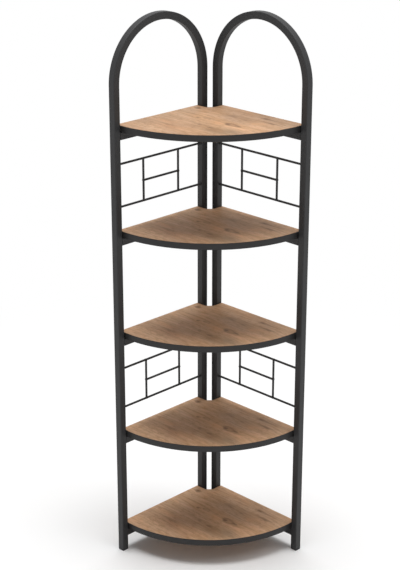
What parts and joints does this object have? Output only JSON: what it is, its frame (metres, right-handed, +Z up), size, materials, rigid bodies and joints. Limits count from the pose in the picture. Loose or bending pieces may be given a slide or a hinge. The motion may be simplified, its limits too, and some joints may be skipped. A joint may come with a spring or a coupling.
{
  "type": "corner shelf unit",
  "caption": "Free-standing corner shelf: arched side frames of bent square tube, quarter-round wood-look shelves with a dark curved edge, and small rod grilles at the sides.",
  "frame": {"origin": "on the floor, in the middle of the 364 mm square footprint", "axes": "+Z up; the room's corner is at -X, +Y, the left frame stands in the plane of the wall at -X, the right frame in the plane of the wall at +Y, and the rounded front looks towards +X, -Y"},
  "size_m": [0.364, 0.364, 1.5],
  "materials": {
    "powder_coat": "matt anthracite powder coat on steel",
    "wood_decor": "satin wood-decor board, rustic grain",
    "edge_band": "satin dark edge banding",
    "foot_plug": "black moulded plastic",
    "screw_zinc": "zinc-plated steel"
  },
  "bodies": {
    "root": {"left_arch_tube": "powder_coat", "left_rear_foot_plug": "foot_plug", "left_front_foot_plug": "foot_plug", "left_rail_1": "powder_coat", "left_rail_2": "powder_coat", "left_rail_3": "powder_coat", "left_rail_4": "powder_coat", "left_rail_5": "powder_coat", "left_shelf_screw_1": "screw_zinc", "left_shelf_screw_2": "screw_zinc", "left_shelf_screw_3": "screw_zinc", "left_shelf_screw_4": "screw_zinc", "left_shelf_screw_5": "screw_zinc", "left_upper_top_rod": "powder_coat", "left_upper_bottom_rod": "powder_coat", "left_upper_middle_rod": "powder_coat", "left_upper_rear_upright": "powder_coat", "left_upper_front_upright": "powder_coat", "left_lower_top_rod": "powder_coat", "left_lower_bottom_rod": "powder_coat", "left_lower_middle_rod": "powder_coat", "left_lower_rear_upright": "powder_coat", "left_lower_front_upright": "powder_coat", "right_arch_tube": "powder_coat", "right_rear_foot_plug": "foot_plug", "right_front_foot_plug": "foot_plug", "right_rail_1": "powder_coat", "right_rail_2": "powder_coat", "right_rail_3": "powder_coat", "right_rail_4": "powder_coat", "right_rail_5": "powder_coat", "right_shelf_screw_1": "screw_zinc", "right_shelf_screw_2": "screw_zinc", "right_shelf_screw_3": "screw_zinc", "right_shelf_screw_4": "screw_zinc", "right_shelf_screw_5": "screw_zinc", "right_upper_top_rod": "powder_coat", "right_upper_bottom_rod": "powder_coat", "right_upper_middle_rod": "powder_coat", "right_upper_rear_upright": "powder_coat", "right_upper_front_upright": "powder_coat", "right_lower_top_rod": "powder_coat", "right_lower_bottom_rod": "powder_coat", "right_lower_middle_rod": "powder_coat", "right_lower_rear_upright": "powder_coat", "right_lower_front_upright": "powder_coat", "shelf_panel_1": "wood_decor", "shelf_panel_2": "wood_decor", "shelf_panel_3": "wood_decor", "shelf_panel_4": "wood_decor", "shelf_panel_5": "wood_decor", "front_band_1": "edge_band", "front_band_2": "edge_band", "front_band_3": "edge_band", "front_band_4": "edge_band", "front_band_5": "edge_band"}
  },
  "joints": []
}
